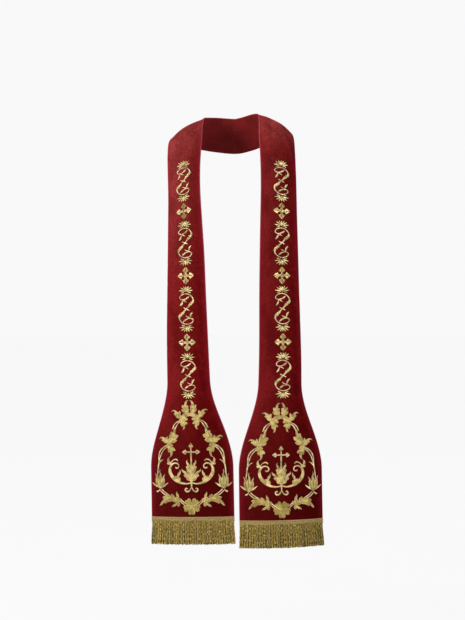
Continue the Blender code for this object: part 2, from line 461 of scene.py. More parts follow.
def cord_courses(layer, chance):
    """How the cords of a layer hang."""
    start = (np.arange(CORDS) + layer.shift) / CORDS * 2 - 1
    second = np.arange(CORDS) % 2
    clump = CLUMP_LEAN * np.sin(np.arange(CORDS) * CLUMP_RATE + chance.uniform(0, 6))
    clump = clump + chance.normal(0, LEAN_SPREAD, CORDS)
    lean = np.clip(clump, -LEAN_MOST, LEAN_MOST) + layer.pairing * (1 - 2 * second)
    wave = chance.normal(0, WAVE_SPREAD, CORDS)
    drop = FRINGE_DROP - np.abs(chance.normal(0, DROP_SPREAD, CORDS)) - DROP_LEAST
    tone = chance.uniform(0, 1, CORDS)
    # Painted shade: every second cord darker, and some of them dark; the rest lighter or darker at random.
    second_tone = np.where(tone < SHADED_CORDS, 0.0, SECOND_SHADE)
    tone = np.where(second, second_tone, LIT_TONE + (1 - LIT_TONE) * tone)
    depth = chance.normal(0, DEPTH_SPREAD, CORDS) - SHADED_DEPTH * (tone == 0)
    turn = chance.uniform(0, 2 * np.pi, CORDS)
    return [Course(*values) for values in zip(start, lean, wave, drop, depth, turn, tone)]


def cord_shape(half, layer, course):
    """The points and marks of one cord: a tube of two plies, rounded off at its tip."""
    t = CORD_PLACES[:, None]
    tip = np.sqrt(np.clip(1 - np.clip((t - TIP_FROM) / TIP_SPAN, 0, 1) ** 2, 0.01, 1))
    angle = np.arange(CORD_SIDES) * 2 * np.pi / CORD_SIDES
    along = layer.start + t * (HEM_AT + course.drop - layer.start)
    ply = 2 * (angle - 2 * np.pi * (along - HEM_AT) / CORD_TWIST - course.turn)
    radius = layer.radius * tip * (1 - PLY_DEPTH + PLY_DEPTH * np.cos(ply))
    sway = course.lean * t ** 1.5 + course.wave * np.sin(t * 5 + course.turn)
    side = course.start * (half_width(along) - layer.radius) + sway + radius * np.cos(angle)
    out = np.maximum(layer.out + course.depth * ease(t * 3), layer.radius) + radius * np.sin(angle)
    points = half.point(side / half_width(along), along, out)
    # Painted shade: darker in the hollows between the plies, and on the fronts of the cords behind.
    shade = course.tone * (HOLLOW_SHADE + (1 - HOLLOW_SHADE) * (0.5 + 0.5 * np.cos(ply)))
    shade = shade * np.where(np.sin(angle) > -0.1, layer.tone, 1.0)
    marks = np.stack(np.broadcast_arrays(side, along, shade), -1)
    return points.reshape(-1, 3), marks.reshape(-1, 3)


def cord_faces():
    """The faces of one cord. Three quads close each of its ends, which have eight sides."""
    end = np.array(((3, 2, 1, 0), (7, 6, 5, 4), (0, 3, 4, 7)))
    last = (len(CORD_PLACES) - 1) * CORD_SIDES
    return np.concatenate([tube_faces(len(CORD_PLACES), CORD_SIDES), end, end[:, ::-1] + last])


def make_fringe(half, bullion):
    """Two layers of twisted cords, as one piece."""
    chance = np.random.default_rng(FRINGE_SEEDS[half.name])
    cords = [cord_shape(half, layer, course) for layer in LAYERS for course in cord_courses(layer, chance)]
    points, marks = (np.concatenate(parts) for parts in zip(*cords))
    first = np.arange(len(cords)) * len(CORD_PLACES) * CORD_SIDES
    faces = (cord_faces() + first[:, None, None]).reshape(-1, 4)
    return make_piece("fringe_cords_" + half.name, points, outside_out(points, faces), marks, (bullion,))


# ---------------------------------------- embroidery

STITCH = 0.55               # between the rows of a stroke's mesh, two rows to a stitch
STITCH_RIDGE = 0.09         # how much every second row stands up, as a share of the height
SHADE = 1.15                # the painted shade round a stroke: how far its dark skirt reaches
SUNK = 0.25                 # how far a stroke's skirt goes into the velvet
LEAST_HALF = 0.2            # the least half-width of a stroke
FULL_AT = 2.6               # the half-width at which a stroke has its whole height
THIN_HEIGHT = 0.55          # the height of the thinnest, as a share
END_HEIGHT = 0.45           # the height at a stroke's ends, as a share
END_SPAN = 1.6              # the length over which it rises from there
GREEN = 2.0                 # the tone of thread that is greener right up to a stroke's edges

# Sections across a stroke: places from -1 to 1, and the height at each.
Section = namedtuple("Section", "places heights")
CORD = Section((-1, -0.6, 0, 0.6, 1), (0.45, 0.9, 1.0, 0.9, 0.45))
SATIN = Section((-1, -0.75, -0.35, 0.35, 0.75, 1), (0.5, 0.85, 1.0, 1.0, 0.85, 0.5))
VEINED = Section((-1, -0.8, -0.45, -0.1, 0, 0.1, 0.45, 0.8, 1),
                 (0.55, 0.95, 1.0, 0.78, 0.55, 0.78, 1.0, 0.95, 0.55))

# Leaves run from a base to a tip, with a half-width, a bow to the left, a number of lobes, how far round the
# tip curls, to the left or, below 0, to the right, and a tone.
Leaf = namedtuple("Leaf", "base tip width bow lobes hook tone")
LEAF_FULL_AT = 0.72         # below 1, a leaf is widest nearer its base
LEAF_ROUND = 0.62           # below 1, it keeps its width further towards its ends
LEAF_TIP = 1.9              # what its width adds to at the very ends
LEAF_SPINE = (1.4, 1.9, 2.1, 2.2, 3.0, 2.3)     # half-widths of its spine, base to tip
HOOK_RADIUS = 6.5           # of the curl of its tip
HOOK_TAPER = (LEAF_SPINE[-1] * 0.8, 0.25)       # half-widths, to its end
LOBE_FROM = 0.25            # where the first lobe stands, in lobes from the base
LOBE_STAGGER = 0.3          # how much further up those on the right stand
LOBE_END = 1.2              # how much of the tip has no lobe
LOBE_FULL = 0.98            # a lobe's width, as a share of the room it has
LOBE_LEAN = 0.7             # how far it leans ahead, for each step out
LOBE_CURL = 0.3             # and how much further towards its end
LOBE = ((0, 0.7), (0.25, 1.0), (0.5, 0.98), (0.72, 0.8), (0.9, 0.5), (1.02, 0.1))  # shares of reach and width


def turned(points, degrees):
    """Flat points, turned about their origin."""
    angle = np.radians(degrees)
    turn = np.array(((np.cos(angle), np.sin(angle)), (-np.sin(angle), np.cos(angle))))
    return points @ turn


def trace(rows):
    """Rows a stitch apart on the smooth curve through rows of numbers, which begin with a place."""
    rows = np.asarray(rows, float)
    chords = np.hypot(*np.diff(rows[:, :2], axis=0).T)
    knots = np.concatenate([[0], np.cumsum(np.sqrt(chords))])
    fine = np.linspace(0, knots[-1], 24 * len(rows))
    path = smooth(rows, knots, fine)
    length = np.concatenate([[0], np.cumsum(np.hypot(*np.diff(path[:, :2], axis=0).T))])
    count = max(5, int(round(length[-1] / STITCH)))
    even = np.linspace(0, length[-1], count)
    return smooth(rows, knots, np.interp(even, length, fine)), even


class Work:
    """Embroidery drawn flat: side to the viewer's right, down the cut, and height above the velvet."""

    def __init__(self):
        self.points, self.marks, self.faces = [], [], []
        self.count = 0
        self.origin, self.turn, self.mirror = np.zeros(2), 0.0, False

    def at(self, side, down, turn=0.0, mirror=False):
        """Moves the drawing's origin, as later strokes see it."""
        self.origin, self.turn, self.mirror = np.array((side, down), float), turn, mirror
        return self

    def stroke(self, rows, section=SATIN, height=1.15, tone=0.5, slant=0.0):
        """A line of satin stitches through rows of side, down and half-width, or one for each side."""
        rows, run = trace(rows)
        place = rows[:, :2]
        ahead = unit(np.gradient(place, axis=0))
        beside = np.stack([-ahead[:, 1], ahead[:, 0]], 1)
        half = np.maximum(rows[:, [2, -1]], LEAST_HALF)
        s = np.array((section.places[0],) + section.places + (section.places[-1],))
        reach = np.where(s < 0, half[:, :1], half[:, 1:])
        skirt = np.zeros(len(s))
        skirt[0], skirt[-1] = -SHADE, SHADE
        off = reach * s + skirt
        to_end = np.minimum(run, run[-1] - run)[:, None]
        sweep = slant * np.abs(off) * ease(to_end / (np.abs(slant) * reach + 1.0))
        flat = place[:, None] + beside[:, None] * off[..., None] + ahead[:, None] * sweep[..., None]
        rise = height * np.clip(half.mean(1, keepdims=True) / FULL_AT, THIN_HEIGHT, 1.0)
        rise = rise * (END_HEIGHT + (1 - END_HEIGHT) * ease(to_end / END_SPAN))
        ridge = 1 + STITCH_RIDGE * (-1.0) ** np.arange(len(run))[:, None]
        up = rise * ridge * np.array((0,) + section.heights + (0,))
        up[:, [0, -1]] = -SUNK
        inside = reach * (1 - np.abs(s)) - np.abs(skirt)
        # A vein's middle gets the same painted shade.
        if section is VEINED:
            inside = np.where(np.abs(s) < 0.2, -SUNK, inside)
        marks = np.stack(np.broadcast_arrays(run[:, None], inside, tone), -1)
        self.add(flat, up, marks)

    def add(self, flat, up, marks):
        """A grid of points, moved to the drawing's place and faced outward."""
        if self.mirror:
            flat = flat * (-1, 1)
        flat = turned(flat, self.turn) + self.origin
        faces = grid_faces(*up.shape)
        corners = flat.reshape(-1, 2)[faces]
        one, two = corners[:, 2] - corners[:, 0], corners[:, 3] - corners[:, 1]
        if (one[:, 0] * two[:, 1] - one[:, 1] * two[:, 0]).sum() > 0:
            faces = faces[:, ::-1]
        self.points.append(np.concatenate([flat.reshape(-1, 2), up.reshape(-1, 1)], 1))
        self.marks.append(marks.reshape(-1, 3))
        self.faces.append(faces + self.count)
        self.count += up.size

    def leaf(self, leaf):
        """A leaf: a veined spine whose tip curls into a hook, with rounded lobes along both its sides."""
        base, tip = np.array(leaf.base, float), np.array(leaf.tip, float)
        run = tip - base
        length = np.hypot(*run)
        left = np.array((run[1], -run[0])) / length

        def line(t):
            return base + t * run + left * (4 * leaf.bow * t * (1 - t))

        for k in range(leaf.lobes):
            for hand in (1, -1):
                t = (k + LOBE_FROM + (LOBE_STAGGER if hand < 0 else 0)) / (leaf.lobes + LOBE_END)
                ahead = unit(line(t + 0.01) - line(t))
                out = hand * np.array((ahead[1], -ahead[0]))
                reach = leaf.width * np.sin(np.pi * t ** LEAF_FULL_AT) ** LEAF_ROUND + LEAF_TIP
                wide = LOBE_FULL * length / (leaf.lobes + LOBE_END) / 2
                rows = []
                for share, swell in LOBE:
                    lean = ahead * reach * (LOBE_LEAN * share + LOBE_CURL * share ** 2)
                    rows.append((*(line(t) + out * reach * share + lean), wide * swell))
                self.stroke(rows, SATIN, height=0.95, tone=leaf.tone)
        t = np.linspace(0, 1, 11)[:, None]
        spine = np.column_stack([line(t), smooth(LEAF_SPINE, np.linspace(0, 1, len(LEAF_SPINE)), t[:, 0])])
        ahead = unit(spine[-1, :2] - spine[-2, :2])
        turn = np.sign(leaf.hook) * np.array((ahead[1], -ahead[0]))
        bend = np.radians(np.linspace(0, abs(leaf.hook), 7)[1:])[:, None]
        curl = spine[-1, :2] + HOOK_RADIUS * (np.sin(bend) * ahead + (1 - np.cos(bend)) * turn)
        hook = np.column_stack([curl, np.linspace(*HOOK_TAPER, 6)])
        self.stroke(np.concatenate([spine, hook]), VEINED, height=1.4, tone=leaf.tone + 0.2)


# A palmette's petals, of which all but the last are in pairs: the angle from up, where each begins and ends,
# its half-width, and its tone.
Petal = namedtuple("Petal", "angle start end width tone")
PALMETTE = table(Petal, (
    (110, 4.0, 15.5, 1.0, 1.3),
    (84, 3.5, 20.5, 1.25, 1.3),
    (57, 3.0, 18.5, 1.15, GREEN),
    (29, 2.5, 15.5, 1.15, GREEN),
    (0, 1.0, 13.5, 1.45, GREEN),
))
PALMETTE_FOOT = 3.5         # where its petals meet
PETAL_FULL_AT = 0.85        # as for leaves
PETAL_ROUND = 0.8


def palmette(work, down, up=True):
    """A small burst of lens-shaped petals that opens up the cut, or down it."""
    work.at(0, down, 0 if up else 180)
    t = np.linspace(0, 1, 7)
    for petal in PALMETTE:
        reach = petal.start + (petal.end - petal.start) * t
        width = petal.width * np.sin(np.pi * t ** PETAL_FULL_AT) ** PETAL_ROUND + LEAST_HALF
        for angle in np.radians(sorted({-petal.angle, petal.angle})):
            rows = np.column_stack([reach * np.sin(angle), PALMETTE_FOOT - reach * np.cos(angle), width])
            work.stroke(rows, CORD, height=1.0, tone=petal.tone)
    work.stroke(((-2.6, 3.6, 1.0), (0, 3.0, 1.9), (2.6, 3.6, 1.0)), CORD, height=1.3, tone=0.2)


# Half-width of a cross's arm at each distance from the middle: a neck, a bud with two side points, and a tip.
CROSS_ARM = ((0.5, 3.4), (5, 2.9), (8.4, 2.7), (9.8, 3.6), (11.3, 7.0), (12.1, 8.6), (13.2, 8.2), (15.5, 7.3),
             (18.6, 5.0), (21.2, 2.4), (23.6, 0.3))
FINE_ARM = ((0.5, 1.7), (7, 1.5), (11.4, 1.5), (12.6, 2.6), (13.8, 5.0), (14.6, 6.2), (15.8, 5.9), (18, 4.8),
            (21, 2.6), (24, 0.3))


def cross(work, side, down, arm, tones):
    """A budded cross, or as much of it as there are angles in tones."""
    for angle, tone in tones.items():
        rows = [(0, -distance, width) for distance, width in arm]
        work.at(side, down, angle).stroke(rows, VEINED, height=1.3, tone=tone)


# The tones of the arms of a band's crosses. The upright ones, given for each cross, catch less light.
UPRIGHT_TONES = {"right": (-0.6, 0.5, 0.5), "left": (0.15, 0.15, 0.25)}
CROSSBAR_TONE = 0.9
# The fine cross's upright arm is painted darker too, as catching less light.
FINE_CROSS = {0: 0.4, 90: 0.8, 270: 0.8}

# Half a scroll, from its middle. The other half is the same, turned round.
SCROLL_STEM = (
    (0, 0, 1.3, 1.3), (3.5, -3.6, 1.6, 1.7), (7, -7, 2.2, 2.0), (10, -10.5, 3.9, 2.4),
    (12.5, -11.5, 2.4, 2.6), (15.5, -15, 4.6, 2.7), (18.5, -17, 2.6, 2.6), (20.3, -21.5, 3.7, 2.3),
    (20, -25.5, 1.7, 1.7), (17.6, -31, 1.3, 1.3), (12, -36.8, 1.1, 1.1), (3, -40.6, 1.1, 1.1),
    (-7, -40.3, 1.1, 1.1), (-15, -36.6, 1.1, 1.1), (-18.6, -31, 1.1, 1.1), (-15.5, -26.3, 1.1, 1.1),
    (-8.5, -25.2, 1.1, 1.1), (-1, -27.2, 1.4, 1.4), (5, -30.8, 2.0, 2.0), (9.6, -34.6, 0.3, 0.3),
)
SCROLL_LEAF = ((-9.5, -25.4, 0.9), (-10.6, -20.5, 1.2), (-12.2, -15.5, 2.3), (-15, -11.5, 1.9),
               (-18, -8.8, 0.3))
SCROLL_STUB = ((-8, -23, 1.0), (-3, -21.4, 1.1), (2.2, -18, 0.3))
SCROLL_STAR = ((0.5, 0.5, 1.5), (-4, -1.6, 1.4), (-8.6, -4.3, 0.3))


def scroll(work, down):
    """An S-shaped scroll of leafy stems that end in loops."""
    for turn in (0, 180):
        work.at(0, down, turn)
        work.stroke(SCROLL_STEM, SATIN, height=1.2, tone=0.75)
        work.stroke(SCROLL_LEAF, CORD, height=1.1, tone=0.95)
        work.stroke(SCROLL_STUB, CORD, height=1.0, tone=0.9)
        work.stroke(SCROLL_STAR, CORD, height=1.1, tone=0.85)


COLUMN_START = {"right": 331.5, "left": 323.0}      # the first palmette
COLUMN_SIDE = {"right": 0.0, "left": 7.0}           # to the viewer's right of the band's middle
SCROLL_SPAN = 103.4                                 # between the palmettes at a scroll's two ends
CROSS_SPAN = 76.6                                   # between those on the two sides of a cross
SCROLLS = 4


def column(work, name):
    """The motifs down a half's band: scrolls between palmettes, with a cross between each two."""
    for k in range(SCROLLS):
        top = COLUMN_START[name] + k * (SCROLL_SPAN + CROSS_SPAN)
        palmette(work, top, up=True)
        scroll(work, top + SCROLL_SPAN / 2)
        palmette(work, top + SCROLL_SPAN, up=False)
        if k < SCROLLS - 1:
            upright = UPRIGHT_TONES[name][k]
            tones = {0: upright, 180: upright, 90: CROSSBAR_TONE, 270: CROSSBAR_TONE}
            cross(work, 0, top + SCROLL_SPAN + CROSS_SPAN / 2, CROSS_ARM, tones)


GARLAND_AT = 1273.0         # the middle of the flower at the garland's foot

# One side of the garland, from the flower's middle.
GARLAND_LEAVES = table(Leaf, (
    ((2.5, -241), (8.0, -279), 6.8, -5.5, 3, 75, 0.35),     # the pair at the top
    ((29, -231), (2.5, -247), 7.0, 1.5, 2, -30, 0.3),       # the first cluster
    ((27, -235), (39.5, -256), 6.4, 2.4, 2, -95, 0.35),
    ((28, -234), (16.5, -211), 6.6, -4.2, 2, 70, 0.3),
    ((64, -165), (42.5, -208), 8.8, 5.6, 3, -60, 0.3),      # the second cluster
    ((62, -168), (77, -185), 6.8, 2.6, 2, -95, 0.35),
    ((65, -167), (53.5, -138), 7.2, -4.8, 2, 75, 0.25),
    ((36, -14), (84, -5), 7.8, 12.5, 4, 50, 0.1),           # the foot
    ((35, -12), (39.5, -33), 6.2, 1.5, 1, 60, 0.2),
    ((34, -15), (49, -2), 6.2, -1.6, 1, -50, 0.15),
))
GARLAND_STEMS = (
    ((31, -229, 1.2), (38, -225, 1.2), (44, -218, 1.2), (48.5, -208, 0.9)),
    ((28, -227, 1.2), (34, -221, 1.2), (39, -213, 1.2), (41.5, -205, 0.9)),
    ((68, -163, 1.3), (78, -156, 1.3), (85.5, -146, 1.3), (88.5, -132, 1.3), (88.8, -118, 1.5),
     (91, -103, 1.4), (92.6, -88, 1.2), (93.2, -79, 0.8), (92.6, -71, 0.3)),
    ((66, -159, 1.2), (74, -152, 1.2), (80, -143, 1.2), (85, -131, 1.2), (88.2, -119, 0.9)),
    ((91.5, -106, 1.3), (88, -115, 1.3), (82.5, -121.5, 1.2), (75.5, -125.5, 0.3)),
    ((82.5, -46, 1.2), (76, -39.5, 1.2), (69, -34.5, 1.2), (61, -30, 0.9)),
    ((86, -42, 1.2), (79, -35, 1.2), (71, -29.5, 1.2), (63, -26, 0.9)),
    ((87, -46, 1.2), (90, -41.5, 1.3), (94, -39.5, 2.1), (96.6, -38.6, 0.8)),
    ((31, -14, 1.2), (24, -7.5, 1.2), (17, -1.5, 1.2), (11, 3, 0.9)),
    ((28, -17, 1.2), (21, -11, 1.2), (14, -6, 1.2), (8, -3, 0.9)),
)
BUD_AT = (86.2, -49.0)
BUD_PETALS = (
    ((-1, 0, 1.5), (-5.6, -6, 4.0), (-7.6, -14, 4.8), (-8.6, -22, 3.6), (-9.6, -29, 1.7),
     (-13.6, -36.5, 0.3)),
    ((1, 0, 1.5), (5.6, -6, 4.0), (7.6, -14, 4.8), (8.6, -23, 3.6), (9.8, -30.5, 1.7), (13.8, -39, 0.3)),
    ((0, 0, 1.2), (0, -9, 4.6), (0.2, -19, 5.4), (0, -28, 3.8), (-1.4, -36, 1.7), (0.8, -43, 1.1),
     (-0.8, -50, 0.3)),
)
BUD_SEPALS = (
    ((0, -0.5, 1.3), (-7, -3.2, 1.6), (-14, -8, 1.9), (-22.5, -14.5, 0.3)),
    ((0, -0.5, 1.3), (7, -3.4, 1.6), (14, -7.8, 1.9), (22.5, -14.5, 0.3)),
)


def bud(work, down, mirror):
    """A rosebud, with its sepals and a calyx band."""
    side, above = BUD_AT
    work.at(-side if mirror else side, down + above, 0, mirror)
    for rows in BUD_SEPALS:
        work.stroke(rows, CORD, height=1.1, tone=0.8)
    for rows in BUD_PETALS:
        work.stroke(rows, VEINED, height=1.5, tone=0.35, slant=0.5)
    work.stroke(((-4.6, -1.5, 1.0), (0, -0.2, 1.6), (4.6, -1.5, 1.0)), CORD, height=1.5, tone=0.7)


# Half a petal of the flower: its place out from the middle and its half-width.
FLOWER_PETAL = ((0, -3, 1.6), (0, -8, 3.4), (0, -13, 4.7), (0, -17.5, 4.9), (0, -21, 3.5), (0, -23, 0.5))
PETAL_SPLAY = 13            # degrees from the petal's middle


def flower(work, down):
    """Five notched petals, one of them pointing down, round a knotted middle."""
    for k in range(5):
        for splay in (-PETAL_SPLAY, PETAL_SPLAY):
            work.at(0, down, 180 + 72 * k + splay)
            work.stroke(FLOWER_PETAL, SATIN, height=1.25, tone=-0.32 + 0.15 * (k % 2))
    angles = np.radians(np.arange(0, 361, 45))
    ring = np.column_stack([2.6 * np.sin(angles), 2.6 * np.cos(angles), np.full(9, 1.3)])
    work.at(0, down).stroke(ring, CORD, height=1.9, tone=0.75)
    work.stroke(((-1.0, 0, 1.0), (0, 0, 1.5), (1.0, 0, 1.0)), CORD, height=2.1, tone=0.9)


# Half of the device in the garland's middle, from the middle of its cross: a lily stalk beside a scroll.
DEVICE_AT = -145.0          # from the flower's middle
DEVICE_STALK = ((0, 3, 1.9), (0, 22, 1.8), (0, 40, 2.4), (0, 62, 2.0), (0, 80, 2.4), (0, 96, 1.3))
DEVICE_LEAVES = table(Leaf, (
    ((1.5, 70), (11, 29), 7.2, 4.0, 3, 80, 0.35),
    ((1.5, 78), (22, 51), 6.4, 3.2, 2, 70, 0.45),
    ((36, 78), (31, 55), 5.8, -2.6, 1, -70, 0.4),
    ((55.5, 33), (62.5, 20), 3.6, -1.8, 1, 70, 0.5),
))
DEVICE_STEMS = (
    ((1, 82, 1.2), (12, 84.5, 1.7), (25, 83, 2.6), (38, 77.5, 3.6), (50, 67.5, 4.3), (57.5, 54, 3.9),
     (57.5, 41, 2.9), (50.5, 31.5, 2.0), (41, 29.5, 1.5), (34, 34, 1.3), (34.5, 41, 1.2), (40.5, 42.5, 1.8),
     (43, 39.5, 0.6)),
    ((56, 36, 1.3), (54, 27, 1.2), (47.5, 20.5, 1.2), (40, 19.5, 1.6), (35.5, 23.5, 0.6)),
    ((0.6, 95, 1.2), (6, 103.5, 1.5), (13, 105.5, 1.9), (17, 101, 1.6), (14, 96.5, 1.3), (10.6, 98.6, 0.7)),
)


def device(work, down):
    """A small cross on a stalk, between leaves and two scrolls that mirror each other."""
    middle = down + DEVICE_AT
    for mirror in (False, True):
        work.at(0, middle, 0, mirror)
        for rows in DEVICE_STEMS:
            work.stroke(rows, SATIN, height=1.2, tone=0.65)
        for leaf in DEVICE_LEAVES:
            work.leaf(leaf)
    work.at(0, middle).stroke(DEVICE_STALK, SATIN, height=1.4, tone=0.5)
    work.stroke(((-4.4, 76, 1.2), (0, 77.2, 1.8), (4.4, 76, 1.2)), CORD, height=1.8, tone=0.8)
    cross(work, 0, middle, FINE_ARM, FINE_CROSS)


def garland(work, down):
    """The wreath on the flared end, with the device in its middle."""
    for mirror in (False, True):
        work.at(0, down, 0, mirror)
        for rows in GARLAND_STEMS:
            work.stroke(rows, CORD, height=1.0, tone=0.8)
        for leaf in GARLAND_LEAVES:
            work.leaf(leaf)
    for mirror in (False, True):
        bud(work, down, mirror)
    flower(work, down)
    device(work, down)


def make_embroidery(name, half, work, thread, side=0.0):
    """Lays a drawing on a half's velvet, moved to the viewer's right, and makes it one piece."""
    flat = np.concatenate(work.points)
    along = flat[:, 1]
    across = half.side * (flat[:, 0] + side) / half_width(along)
    points = half.point(across, along, WALL + flat[:, 2])
    piece = make_piece(name + "_" + half.name, points, np.concatenate(work.faces), np.concatenate(work.marks),
                       (thread,))
    return piece


# ---------------------------------------- materials

class Nodes:
    """The nodes of a new material or world, added one by one and joined as they are added."""

    def __init__(self, owner):
        owner.use_nodes = True
        self.owner = owner
        self.tree = owner.node_tree

    def add(self, kind, settings=None, **inputs):
        node = self.tree.nodes.new("ShaderNode" + kind)
        for name, value in (settings or {}).items():
            setattr(node, name, value)
        for name, value in inputs.items():
            self.join(node.inputs[name.replace("_", " ")], value)
        return node

    def join(self, socket, value):
        if isinstance(value, bpy.types.NodeSocket):
            self.tree.links.new(value, socket)
        else:
            socket.default_value = value

    def marks(self):
        """The marks that a piece's points carry, as a vector and as its three numbers."""
        node = self.add("Attribute", {"attribute_name": "marks"})
        parts = self.add("SeparateXYZ", Vector=node.outputs["Vector"])
        return node.outputs["Vector"], parts.outputs["X"], parts.outputs["Y"], parts.outputs["Z"]

    def math(self, operation, a, b=0.0, c=0.0):
        node = self.add("Math", {"operation": operation})
        for socket, value in zip(node.inputs, (a, b, c)):
            self.join(socket, value)
        return node.outputs[0]

    def ramp(self, value, low, high, to_low=0.0, to_high=1.0):
        node = self.add("MapRange", {"interpolation_type": "SMOOTHSTEP"}, Value=value)
        node.inputs["From Min"].default_value = low
        node.inputs["From Max"].default_value = high
        node.inputs["To Min"].default_value = to_low
        node.inputs["To Max"].default_value = to_high
        return node.outputs["Result"]

    def wave(self, value, rate):
        """A sine of so many radians to a millimetre."""
        return self.math("SINE", self.math("MULTIPLY", value, rate))

    def noise(self, vector, scale, detail=2.0, stretch=(1, 1, 1)):
        """Soft noise of about 0 to 1. The scale is in patches to a millimetre of the vector."""
        placed = self.add("Mapping", Vector=vector, Scale=stretch)
        node = self.add("TexNoise", Vector=placed.outputs["Vector"], Scale=scale, Detail=detail)
        return node.outputs["Fac"]

    def mix(self, factor, a, b):
        node = self.add("Mix", {"data_type": "RGBA"})
        self.join(node.inputs["Factor"], factor)
        self.join(node.inputs["A"], a)
        self.join(node.inputs["B"], b)
        return node.outputs["Result"]

    def tint(self, a, b, value, low, high, to_low=0.0, to_high=1.0):
        """One colour turned into another by a ramp's share."""
        return self.mix(self.ramp(value, low, high, to_low, to_high), a, b)

    def tints(self, colour, *rows):
        """A colour turned towards others in turn. Each row is the other's three numbers and tint()'s ramp."""
        for other, *ramp in rows:
            colour = self.tint(colour, rgb(*other), *ramp)
        return colour

    def bump(self, height, distance, strength=1.0, onto=None):
        node = self.add("Bump", Height=height, Distance=distance, Strength=strength)
        if onto is not None:
            self.join(node.inputs["Normal"], onto)
        return node.outputs["Normal"]

    def finish(self, colour, **values):
        shader = self.tree.nodes["Principled BSDF"]
        self.join(shader.inputs["Base Color"], colour)
        for name, value in values.items():
            self.join(shader.inputs[name.replace("_", " ")], value)
        return self.owner


def rgb(red, green, blue):
    return (red, green, blue, 1.0)


THREAD = 0.5                # the pitch of the embroidery's thread
BRAID_STRAND = 0.8          # of the heading's
BULLION_STRAND = 0.9        # of the cords'
WEAVE_RATE = 6.2            # radians to a millimetre, of the underside's weave
FAR_HALF = (-0.02, 0.1)     # where, across the object in metres, the half further from the light begins


def velvet_material():
    """Deep red pile, brushed and speckled, with painted sheen over the shoulders and along its edges.

    Painted shade darkens it away from the light and towards its ends, and the half further from the light has
    less painted sheen.
    """
    nodes = Nodes(bpy.data.materials.new("red_velvet"))
    marks, side, along, from_edge = nodes.marks()
    patches = nodes.noise(marks, 0.02, 3, (1, 0.5, 0))
    brushed = nodes.noise(marks, 0.07, 3, (1, 0.7, 0))
    mottled = nodes.noise(marks, 0.3, 2, (1, 0.75, 1))
    speckle = nodes.noise(marks, 1.1)
    across = nodes.add("SeparateXYZ", Vector=nodes.add("TexCoord").outputs["Object"]).outputs["X"]
    # Painted sheen: the pile lighter and pinker over the shoulders, and less of it on the half further from
    # the light.
    sheen_along = nodes.math("MULTIPLY_ADD", patches, 260.0, along)
    shoulder_sheen = nodes.ramp(sheen_along, 330, 900, 1.0, 0.0)
    shoulder_sheen = nodes.math("MULTIPLY", shoulder_sheen, nodes.ramp(across, *FAR_HALF, 1.0, 0.25))
    shoulder_sheen = nodes.math("MAXIMUM", shoulder_sheen, nodes.ramp(sheen_along, 330, 440, 1.0, 0.0))
    # Painted shade: darker on the side of each band away from the light, to the viewer's right, and less so
    # near the shoulders.
    shaded = nodes.ramp(nodes.math("MULTIPLY_ADD", patches, 50.0, side), -30, 75)
    shaded = nodes.math("MULTIPLY", shaded, nodes.ramp(along, 180, 340, 0.1, 0.75))
    sheen_colour = nodes.tint(rgb(0.365, 0.057, 0.054), rgb(0.465, 0.068, 0.064), across, *FAR_HALF)
    colour = nodes.mix(shoulder_sheen, rgb(0.235, 0.015, 0.015), sheen_colour)
    colour = nodes.mix(shaded, colour, rgb(0.095, 0.0005, 0.0005))
    colour = nodes.tints(
        colour,
        # painted shade over the half further from the light
        ((0.03, 0.0002, 0.0002), across, *FAR_HALF, 0.0, 0.1),
        ((0.06, 0.0006, 0.0009), patches, 0.36, 0.62, 0.5, 0.0),
        ((0.24, 0.012, 0.016), brushed, 0.45, 0.75, 0.0, 0.4),
        # painted shade, darker towards the flared ends
        ((0.05, 0.0022, 0.0022), along, 900, 1270, 0.0, 0.75),
        ((0.04, 0.0005, 0.0007), mottled, 0.38, 0.62, 0.0, 0.42),
        ((0.03, 0.0004, 0.0006), speckle, 0.36, 0.64, 0.0, 0.4),
        # painted sheen: pinker within 20 mm of the edges, and a pinker rim on the turned edge itself
        ((0.19, 0.008, 0.015), from_edge, 1.5, 20, 0.35, 0.0),
        ((0.42, 0.08, 0.115), from_edge, 0.9, 3.0, 0.5, 0.0))
    pile = nodes.bump(speckle, 0.0007, 0.5)
    normal = nodes.bump(brushed, 0.0012, 0.25, pile)
    roughness = nodes.ramp(patches, 0.3, 0.7, 0.8, 0.92)
    return nodes.finish(colour, Roughness=roughness, Normal=normal, Sheen_Weight=0.45, Sheen_Roughness=0.3,
                        Sheen_Tint=rgb(1.0, 0.11, 0.1), Specular_IOR_Level=0.0)


def underside_material():
    """The wearer's side: a plain matte weave in the same red."""
    nodes = Nodes(bpy.data.materials.new("red_backing"))
    marks, side, along, _ = nodes.marks()
    weave = nodes.math("MULTIPLY", nodes.wave(side, WEAVE_RATE), nodes.wave(along, WEAVE_RATE))
    wear = nodes.noise(marks, 0.03, 3, (1, 0.7, 0))
    slub = nodes.noise(marks, 0.7, 2, (1, 0.08, 0))
    colour = nodes.tint(rgb(0.165, 0.008, 0.009), rgb(0.215, 0.014, 0.014), wear, 0.3, 0.7)
    colour = nodes.tint(colour, rgb(0.08, 0.004, 0.004), weave, -1, 1, 0.3, 0.0)
    colour = nodes.tint(colour, rgb(0.25, 0.03, 0.028), slub, 0.45, 0.75, 0.0, 0.25)
    normal = nodes.bump(weave, 0.0003, 0.6)
    return nodes.finish(colour, Roughness=nodes.ramp(slub, 0.3, 0.7, 0.8, 0.9), Normal=normal,
                        Sheen_Weight=0.1, Sheen_Tint=rgb(1.0, 0.2, 0.18), Specular_IOR_Level=0.08)


